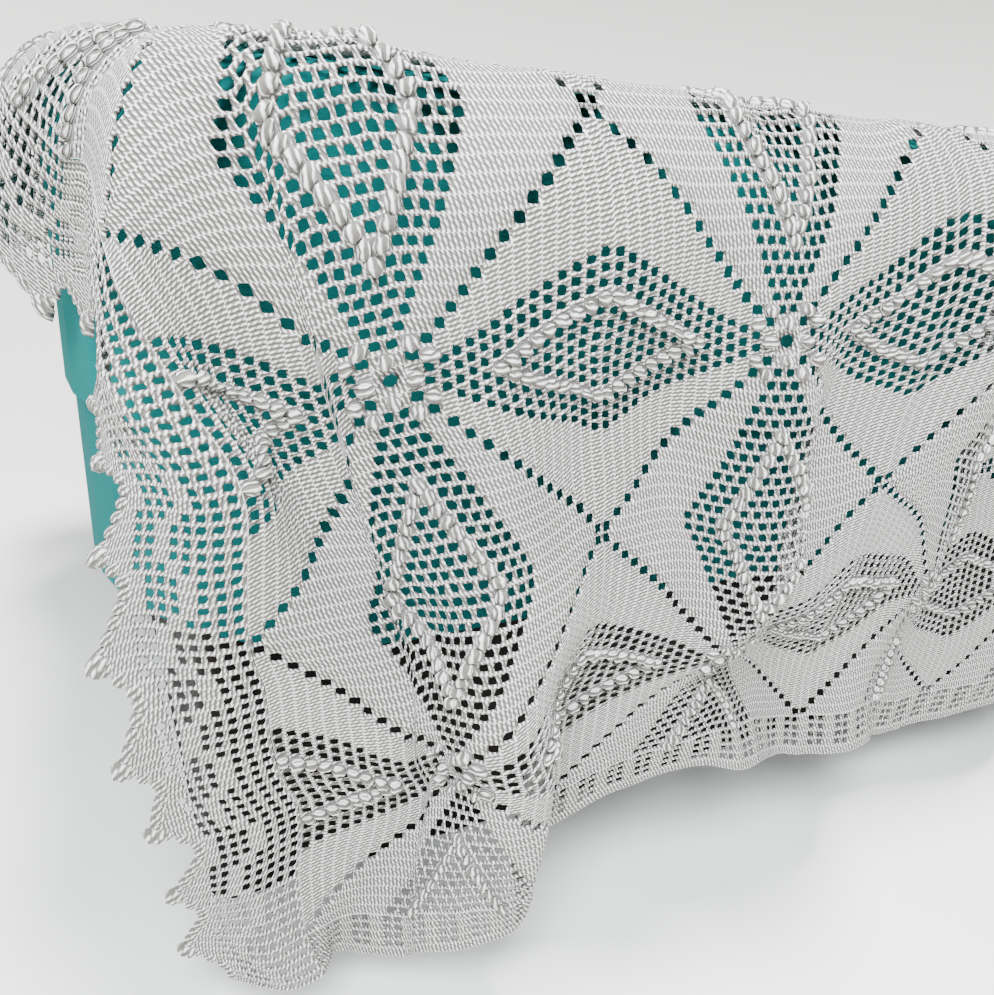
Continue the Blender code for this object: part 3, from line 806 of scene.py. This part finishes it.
def lay(name, works, material):
    """Lay planned works, each with its cloth places, on the drape as one closed mesh piece."""
    us, vs, rises, plans = zip(*works)
    starts = np.cumsum([0] + [len(u) for u in us])
    triangles = np.concatenate([np.array(plan.triangles) + start for plan, start in zip(plans, starts)])
    twins = np.concatenate([np.array(plan.twins) + start for plan, start in zip(plans, starts)])
    stitches = [np.array(plan.stitches, float) for plan in plans]
    u, v, heights = np.concatenate(us), np.concatenate(vs), np.concatenate(rises)
    kept, triangles, twins = weld(u, v, heights, triangles, twins)
    walls, rim = close_rim(triangles, twins)
    triangles = np.concatenate([triangles, walls])
    stitches = np.concatenate(stitches + [np.zeros((len(walls), 3, 2))])

    du, dv, rise = uneven(u[kept], v[kept])
    u, v = u[kept] + du, v[kept] + dv
    points = on_cloth(u, v) + cloth_normals(u, v) * (heights[kept] + rise)[:, None]
    mesh = crochet_mesh(name, points, triangles, stitches)
    mesh.materials.append(material)
    mark_sharp(mesh, rim)
    piece = add_object(name, mesh)
    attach(piece, "root")
    return piece


def lay_edging(name, work, seed, side, middle, material):
    """Lay an edging along one side of the field, a seam's gap away, in place of its node."""
    places, heights = cloth_arrays(work, seed + side)
    along, outward = places[:, 0] * CELLS_TO_SQUARES, places[:, 1] * CELLS_TO_SQUARES
    u, v = turned(along, outward + SEAM_GAP / SQUARE, side)
    piece = lay(name + "_worked", [(middle[0] + u, middle[1] + v, heights, work)], material)
    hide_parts(name)
    return piece


# ---- materials ----
POST_LEAN = 0.8           # posts that a post leans over in one row
POST_SWAY = {"scale": 90.0, "posts": 0.5}      # and how far it sways
POST_ROUND = 0.42         # below 1, posts are broad and the gaps between them narrow
POST_WINDS = 2.0          # turns of yarn round a post
WIND_DEPTH = 0.42         # share of a post's height that they take
CHAIN_NARROW = 9.0        # the higher, the narrower the chain along a row's top
CHAIN_SLANT = 2.0         # links that it moves on by in one row
CHAIN_DEPTH = 0.45        # share of its height that lies between its links
FUZZ = {"scale": 1400.0, "height": 0.18}
WARM_COTTON = (0.74, 0.70, 0.63, 1.0)
WARM_PATCHES = {"scale": 6.0, "share": 0.35}
# Painted shade in the gaps between stitches, and the depths where it starts and is full.
GROOVE_PAINTED_SHADE = {"shade": 0.95, "from": 0.05, "to": 0.48}
COVER_CLOUDS = {"scale": 9.0, "share": 0.7}    # worn patches of a woven cover
COVER_DARK = 0.55         # brightness of its darkest parts against its colour
THREAD_SHADE = 0.25       # share of its tone that the threads take
BASE_THREADS = 0.7        # threads of the base's weave against the mattress's
WOOD_GRAIN = (1.5, 14.0, 40.0)                 # how fine it is along, across and up
WOOD_DARK = 0.4           # brightness of the darkest grain against the wood's colour


def add_node(tree, kind, inputs=(), **settings):
    """A shader node with its settings, and its inputs as values or links from other nodes."""
    node = tree.nodes.new(kind)
    for name, value in settings.items():
        setattr(node, name, value)
    for key, value in dict(inputs).items():
        socket = node.inputs[key]
        if isinstance(value, bpy.types.NodeSocket):
            tree.links.new(value, socket)
        else:
            socket.default_value = value
    return node


def calculate(tree, operation, *values):
    """The result socket of one Math node."""
    return add_node(tree, "ShaderNodeMath", dict(enumerate(values)), operation=operation).outputs[0]


def wave_of(tree, value, shift=0.0, turns=1.0):
    """A smooth wave from 0 to 1 of so many turns for each unit of value."""
    angle = calculate(tree, "MULTIPLY_ADD", value, 2 * np.pi * turns, shift)
    return calculate(tree, "MULTIPLY_ADD", calculate(tree, "COSINE", angle), 0.5, 0.5)


def noise(tree, place, scale, detail, **more):
    """The value of a noise at a place."""
    inputs = {"Vector": place, "Scale": scale, "Detail": detail, **more}
    return add_node(tree, "ShaderNodeTexNoise", inputs).outputs[0]


def object_place(tree):
    """The socket of Object coordinates."""
    return add_node(tree, "ShaderNodeTexCoord").outputs["Object"]


def mix_tones(tree, share, first, second):
    """The colour between two colours, as sockets or values."""
    return add_node(tree, "ShaderNodeMix", {0: share, 6: first, 7: second}, data_type="RGBA").outputs[2]


def dark_and_full(colour, dark):
    """A colour at a share of its brightness, and in full."""
    return (*[dark * c for c in colour], 1.0), (*colour, 1.0)


def stitch_group():
    """Node group: height of double crochets and the chains along row tops, and the mask for the shade painted
    between them.
    """
    name = "crochet stitches"
    if name in bpy.data.node_groups:
        return bpy.data.node_groups[name]
    tree = bpy.data.node_groups.new(name, "ShaderNodeTree")
    for output in ("Height", "Groove"):
        tree.interface.new_socket(output, in_out="OUTPUT", socket_type="NodeSocketFloat")
    uv = add_node(tree, "ShaderNodeUVMap", uv_map="stitches")
    parts = add_node(tree, "ShaderNodeSeparateXYZ", {0: uv.outputs[0]})
    post, row = parts.outputs[0], parts.outputs[1]
    place = object_place(tree)
    drift = noise(tree, place, POST_SWAY["scale"], 2.0)
    sway = calculate(tree, "MULTIPLY_ADD", drift, POST_SWAY["posts"], -POST_SWAY["posts"] / 2)
    level = calculate(tree, "FRACT", row)
    leaning = calculate(tree, "MULTIPLY_ADD", level, POST_LEAN, calculate(tree, "ADD", post, sway))

    # Round posts with narrow gaps between them, and yarn wound round each post.
    round_post = calculate(tree, "POWER", wave_of(tree, leaning), POST_ROUND)
    winding = calculate(tree, "MULTIPLY_ADD", row, POST_WINDS, calculate(tree, "MULTIPLY", leaning, 0.5))
    wrap = calculate(tree, "SQRT", wave_of(tree, winding))
    wound = calculate(tree, "MULTIPLY_ADD", wrap, WIND_DEPTH, 1.0 - WIND_DEPTH)
    posts = calculate(tree, "MULTIPLY", round_post, wound)

    # The chains along a row's top run on over the posts.
    on_row = calculate(tree, "POWER", wave_of(tree, row), CHAIN_NARROW)
    links = wave_of(tree, calculate(tree, "MULTIPLY_ADD", row, CHAIN_SLANT, post))
    chain = calculate(tree, "MULTIPLY_ADD", links, CHAIN_DEPTH, 1.0 - CHAIN_DEPTH)
    height = add_node(tree, "ShaderNodeMix", {0: on_row, 2: posts, 3: chain}, data_type="FLOAT").outputs[0]
    # Mask for painted shade: how far below a stitch's top a place lies.
    painted_shade_mask = calculate(tree, "SUBTRACT", 1.0, calculate(tree, "MINIMUM", height, 1.0))
    fuzz = noise(tree, place, FUZZ["scale"], 3.0)
    height = calculate(tree, "MULTIPLY_ADD", fuzz, FUZZ["height"], height)
    add_node(tree, "NodeGroupOutput", {"Height": height, "Groove": painted_shade_mask})
    return tree


def principled(name):
    """A new material with its tree and its Principled shader."""
    material = bpy.data.materials.new(name)
    material.use_nodes = True
    tree = material.node_tree
    return material, tree, tree.nodes["Principled BSDF"]


def finish(tree, shader, tone, relief, looks):
    """Give the shader its tone, a bump of (height, strength, depth) and its other looks."""
    height, strength, depth = relief
    bump = add_node(tree, "ShaderNodeBump", {"Height": height, "Strength": strength, "Distance": depth})
    tree.links.new(tone, shader.inputs["Base Color"])
    tree.links.new(bump.outputs[0], shader.inputs["Normal"])
    for name, value in looks.items():
        shader.inputs[name].default_value = value


def cotton(name, yarn, colour):
    """Matt cotton yarn worked in stitches, with shade painted darker between them."""
    material, tree, shader = principled(name)
    stitches = add_node(tree, "ShaderNodeGroup", node_tree=stitch_group())
    patches = noise(tree, object_place(tree), WARM_PATCHES["scale"], 4.0)
    warmth = calculate(tree, "MULTIPLY", patches, WARM_PATCHES["share"])
    base = mix_tones(tree, warmth, (*colour, 1.0), WARM_COTTON)
    # Painted shade: the groove colour is mixed in where the stitches lie deepest.
    deep = add_node(
        tree, "ShaderNodeMapRange",
        {0: stitches.outputs["Groove"], 1: GROOVE_PAINTED_SHADE["from"], 2: GROOVE_PAINTED_SHADE["to"], 4: GROOVE_PAINTED_SHADE["shade"]},
        interpolation_type="SMOOTHSTEP",
    )
    tone = mix_tones(tree, deep.outputs[0], base, (*yarn.painted_groove_shade_colour, 1.0))
    finish(tree, shader, tone, (stitches.outputs["Height"], 0.9, yarn.relief), {
        "Roughness": 0.92, "Sheen Weight": 0.15, "Sheen Roughness": 0.6, "Specular IOR Level": 0.25,
    })
    return material


def woven(name, colour, threads):
    """Plain tight weave, as on a mattress cover, from Object coordinates."""
    material, tree, shader = principled(name)
    place = object_place(tree)
    axes = add_node(tree, "ShaderNodeSeparateXYZ", {0: place})
    across = [wave_of(tree, axes.outputs[k], shift, threads) for k, shift in ((0, 0.0), (1, 1.1), (2, 0.0))]
    crossing = calculate(tree, "MULTIPLY", calculate(tree, "MAXIMUM", across[0], across[1]), across[2])
    clouds = noise(tree, place, COVER_CLOUDS["scale"], 5.0)
    shade = calculate(tree, "MULTIPLY", crossing, THREAD_SHADE)
    share = calculate(tree, "MULTIPLY_ADD", clouds, COVER_CLOUDS["share"], shade)
    tone = mix_tones(tree, share, *dark_and_full(colour, COVER_DARK))
    finish(tree, shader, tone, (crossing, 0.5, 0.0003), {"Roughness": 0.9, "Specular IOR Level": 0.08})
    return material


def grained_boards(name, colour):
    """Boards with a fine lengthwise grain, in the colour given."""
    material, tree, shader = principled(name)
    stretch = add_node(tree, "ShaderNodeMapping", {"Vector": object_place(tree), "Scale": WOOD_GRAIN})
    grain = noise(tree, stretch.outputs[0], 3.0, 7.0, Roughness=0.6)
    tone = mix_tones(tree, grain, *dark_and_full(colour, WOOD_DARK))
    finish(tree, shader, tone, (grain, 0.3, 0.0006), {"Roughness": 0.75, "Specular IOR Level": 0.1})
    return material


# ---- settings a user may change ----
class BedspreadYarn(bpy.types.PropertyGroup):
    """Cotton of the bedspread."""
    squares_colour: bpy.props.FloatVectorProperty(
        name="Squares", description="Cotton of the squares", subtype="COLOR",
        default=(0.82, 0.825, 0.815), min=0.0, max=1.0,
    )
    lace_colour: bpy.props.FloatVectorProperty(
        name="Lace", description="Cotton of the lace edgings", subtype="COLOR",
        default=(0.81, 0.815, 0.80), min=0.0, max=1.0,
    )
    border_colour: bpy.props.FloatVectorProperty(
        name="Border", description="Cotton of the straight borders", subtype="COLOR",
        default=(0.80, 0.80, 0.78), min=0.0, max=1.0,
    )
    # Painted shade, mixed into the cotton between stitches.
    painted_groove_shade_colour: bpy.props.FloatVectorProperty(
        name="Between stitches", description="Shaded cotton between stitches", subtype="COLOR",
        default=(0.10, 0.088, 0.072), min=0.0, max=1.0,
    )
    relief: bpy.props.FloatProperty(
        name="Stitch relief", description="Depth of the bump between stitches",
        default=0.0028, min=0.0, max=0.004, unit="LENGTH", precision=4,
    )


class BedspreadBed(bpy.types.PropertyGroup):
    """Colours of the bed under the spread."""
    mattress_colour: bpy.props.FloatVectorProperty(
        name="Mattress", description="Woven mattress cover", subtype="COLOR",
        default=(0.002, 0.155, 0.15), min=0.0, max=1.0,
    )
    base_colour: bpy.props.FloatVectorProperty(
        name="Base", description="Upholstery of the base", subtype="COLOR",
        default=(0.003, 0.14, 0.14), min=0.0, max=1.0,
    )
    weave: bpy.props.FloatProperty(
        name="Threads per metre", description="Fineness of the cover's weave",
        default=900.0, min=100.0, max=3000.0,
    )
    # Near black: partly a guessed dark wood, and partly painted shade for the dark space under the bed.
    plinth_colour_with_painted_shade: bpy.props.FloatVectorProperty(
        name="Plinth", description="Stained wood of the plinth", subtype="COLOR",
        default=(0.009, 0.007, 0.006), min=0.0, max=1.0,
    )


class BedspreadStage(bpy.types.PropertyGroup):
    """Floor, light and camera."""
    floor_colour: bpy.props.FloatVectorProperty(
        name="Floor", description="Plain pale floor", subtype="COLOR",
        default=(0.94, 0.93, 0.91), min=0.0, max=1.0,
    )
    sky: bpy.props.FloatProperty(
        name="Room light", description="Strength of the even light from all round",
        default=0.10, min=0.0, max=5.0,
    )
    key: bpy.props.FloatProperty(
        name="Key light", description="Strength of the broad soft light", default=7.5, min=0.0,
    )
    fill: bpy.props.FloatProperty(
        name="Soft box", description="Power of the soft box above the near corner",
        default=72.0, min=0.0, unit="POWER",
    )
    lens: bpy.props.FloatProperty(
        name="Lens", description="Camera's focal length", default=29.8, min=10.0, unit="CAMERA",
    )


# ---- operators ----
class WorkSquares(bpy.types.Operator):
    """Work the squares and join them in rows, draped over the bed"""
    bl_idname = "bedspread.work_squares"
    bl_label = "Work the squares"

    def execute(self, context):
        yarn = context.scene.bedspread_yarn
        material = cotton("cotton of the squares", yarn, yarn.squares_colour)
        square = plan_square()
        for row in range(ROWS):
            works = []
            for column in range(COLUMNS):
                places, heights = cloth_arrays(square, seed=100 * row + column)
                u = column + places[:, 0] * CELLS_TO_SQUARES
                v = row + places[:, 1] * CELLS_TO_SQUARES - 1.0
                works.append((u, v, heights, square))
            piece = lay(f"row_of_squares_{row + 1}", works, material)
            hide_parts("field_of_squares")
        return {"FINISHED"}


class WorkLace(bpy.types.Operator):
    """Work the toothed lace edgings of the two ends"""
    bl_idname = "bedspread.work_lace"
    bl_label = "Work the lace edgings"

    def execute(self, context):
        yarn = context.scene.bedspread_yarn
        material = cotton("cotton of the lace edging", yarn, yarn.lace_colour)
        lace = plan_lace()
        middle = ROWS / 2 - 1.5
        for side, name, seam in ((1, "lace_edging_left", -0.5), (3, "lace_edging_right", COLUMNS - 0.5)):
            piece = lay_edging(name, lace, 900, side, (seam, middle), material)
        return {"FINISHED"}


class WorkBorders(bpy.types.Operator):
    """Work the ribbed borders of the two long sides"""
    bl_idname = "bedspread.work_borders"
    bl_label = "Work the borders"

    def execute(self, context):
        yarn = context.scene.bedspread_yarn
        material = cotton("cotton of the border", yarn, yarn.border_colour)
        border = plan_border()
        middle = COLUMNS / 2 - 0.5
        for side, name, seam in ((2, "border_front", -1.5), (0, "border_back", ROWS - 1.5)):
            piece = lay_edging(name, border, 950, side, (middle, seam), material)
        return {"FINISHED"}


class FinishBed(bpy.types.Operator):
    """Give the mattress, base and plinth their finishes"""
    bl_idname = "bedspread.finish_bed"
    bl_label = "Finish the bed"

    def execute(self, context):
        bed = context.scene.bedspread_bed
        finishes = {
            "mattress": woven("woven mattress cover", bed.mattress_colour, bed.weave),
            "bed_base": woven("base upholstery", bed.base_colour, bed.weave * BASE_THREADS),
            # The plinth's near-black colour is partly a guessed dark wood, and partly painted shade for the
            # dark under the bed.
            "plinth": grained_boards("plinth boards with painted shade", bed.plinth_colour_with_painted_shade),
        }
        for name, material in finishes.items():
            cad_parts[name].data.materials[0] = material
        return {"FINISHED"}


# Camera place from the mattress's left end, front face and top, and how it is turned.
CAMERA_FROM_CORNER = Vector((0.0035, -0.404, -0.020))
CAMERA_YAW = np.radians(29.3)
CAMERA_PITCH = np.radians(-24.45)
CAMERA_ROLL = np.radians(6.57)
NEAREST_SEEN = 0.02       # the camera sees nothing that is nearer
FLOOR_REACH = 15.0        # flat floor out to here
FLOOR_TURN = 8.0          # and then up in a quarter turn of this radius
FLOOR_SIDES = 96
FLOOR_STEPS = 12
KEY_PLACE = Vector((0.36, 0.18, 2.97))
KEY_BREADTH = np.radians(14.0)
ROOM_COLOUR = (1.0, 0.95, 0.90, 1.0)
SOFT_BOX = 0.6            # side of the soft box
SOFT_BOX_COLOUR = (0.91, 0.96, 1.0)
SOFT_BOX_PLACE = Vector((-1.05, -1.05, 1.35))
SOFT_BOX_AIM = Vector((-0.3, -0.3, 0.6))


def add_floor(material):
    """A plain floor that turns up far away, all round, into a plain wall."""
    turns = np.arange(FLOOR_SIDES) * 2 * np.pi / FLOOR_SIDES
    vertices = []
    for rise in np.linspace(0.0, np.pi / 2, FLOOR_STEPS):
        reach = FLOOR_REACH + FLOOR_TURN * np.sin(rise)
        height = FLOOR_TURN * (1 - np.cos(rise))
        vertices += [(reach * np.cos(t), reach * np.sin(t), height) for t in turns]
    faces = [tuple(range(FLOOR_SIDES))]
    for ring in range(FLOOR_STEPS - 1):
        for k in range(FLOOR_SIDES):
            a, b = ring * FLOOR_SIDES + k, ring * FLOOR_SIDES + (k + 1) % FLOOR_SIDES
            faces.append((b, b + FLOOR_SIDES, a + FLOOR_SIDES, a))
    mesh = bpy.data.meshes.new("floor")
    mesh.from_pydata(vertices, [], faces)
    mesh.polygons.foreach_set("use_smooth", [len(face) == 4 for face in faces])
    mesh.materials.append(material)
    return add_object("floor", mesh)


def add_light(name, kind, energy, place, aim, **settings):
    """A light at its place, turned to what it is aimed at."""
    lamp = bpy.data.lights.new(name, kind)
    lamp.energy = energy
    for key, value in settings.items():
        setattr(lamp, key, value)
    light = add_object(name, lamp)
    light.location = place
    light.rotation_euler = (aim - place).to_track_quat("-Z", "Y").to_euler()


class SetStage(bpy.types.Operator):
    """Add the pale floor, soft lights and the camera"""
    bl_idname = "bedspread.set_stage"
    bl_label = "Set the stage"

    def execute(self, context):
        stage = context.scene.bedspread_stage
        material, _, shader = principled("pale floor")
        shader.inputs["Base Color"].default_value = (*stage.floor_colour, 1.0)
        shader.inputs["Roughness"].default_value = 0.9
        add_floor(material)

        world = bpy.data.worlds.new("even room light")
        world.use_nodes = True
        background = world.node_tree.nodes["Background"]
        background.inputs[0].default_value = ROOM_COLOUR
        background.inputs[1].default_value = stage.sky
        context.scene.world = world

        # A broad light from above, and a soft box at the near corner that falls off down the folds.
        add_light("key light", "SUN", stage.key, KEY_PLACE, Vector(), angle=KEY_BREADTH)
        add_light(
            "soft box", "AREA", stage.fill, SOFT_BOX_PLACE, SOFT_BOX_AIM,
            size=SOFT_BOX, color=SOFT_BOX_COLOUR,
        )
        self.add_camera(context, stage.lens)
        return {"FINISHED"}

    def add_camera(self, context, lens):
        """The camera near the bed's front left corner, looking along it and down."""
        data = bpy.data.cameras.new("camera")
        data.sensor_fit = "HORIZONTAL"
        data.sensor_width = 36.0
        data.lens = lens
        data.clip_start = NEAREST_SEEN
        camera = add_object("camera", data)
        place = Vector((BED_LOW.x, BED_LOW.y, BED_TOP)) + CAMERA_FROM_CORNER
        turn = Matrix.Rotation(-CAMERA_YAW, 4, "Z") @ Matrix.Rotation(np.pi / 2 + CAMERA_PITCH, 4, "X")
        camera.matrix_world = Matrix.Translation(place) @ turn @ Matrix.Rotation(CAMERA_ROLL, 4, "Z")
        context.scene.camera = camera


class BedspreadPanel(bpy.types.Panel):
    """Sizes, colours and steps of the crochet bedspread"""
    bl_idname = "VIEW3D_PT_crochet_bedspread"
    bl_label = "Crochet bedspread"
    bl_space_type = "VIEW_3D"
    bl_region_type = "UI"
    bl_category = "Bedspread"

    def draw(self, context):
        for name in SETTINGS:
            group = getattr(context.scene, name)
            for setting in group.bl_rna.properties:
                if setting.identifier not in ("rna_type", "name"):
                    self.layout.prop(group, setting.identifier)
        for operator in OPERATORS:
            self.layout.operator(operator.bl_idname)


SETTINGS = {
    "bedspread_yarn": BedspreadYarn,
    "bedspread_bed": BedspreadBed,
    "bedspread_stage": BedspreadStage,
}
OPERATORS = (WorkSquares, WorkLace, WorkBorders, FinishBed, SetStage)


def register():
    for name, group in SETTINGS.items():
        bpy.utils.register_class(group)
        setattr(bpy.types.Scene, name, bpy.props.PointerProperty(type=group))
    for operator in OPERATORS:
        bpy.utils.register_class(operator)
    bpy.utils.register_class(BedspreadPanel)


def unregister():
    bpy.utils.unregister_class(BedspreadPanel)
    for operator in reversed(OPERATORS):
        bpy.utils.unregister_class(operator)
    for name, group in SETTINGS.items():
        delattr(bpy.types.Scene, name)
        bpy.utils.unregister_class(group)


def main():
    register()
    bpy.ops.bedspread.work_squares()
    bpy.ops.bedspread.work_lace()
    bpy.ops.bedspread.work_borders()
    bpy.ops.bedspread.finish_bed()
    bpy.ops.bedspread.set_stage()


if __name__ == "__main__":
    main()
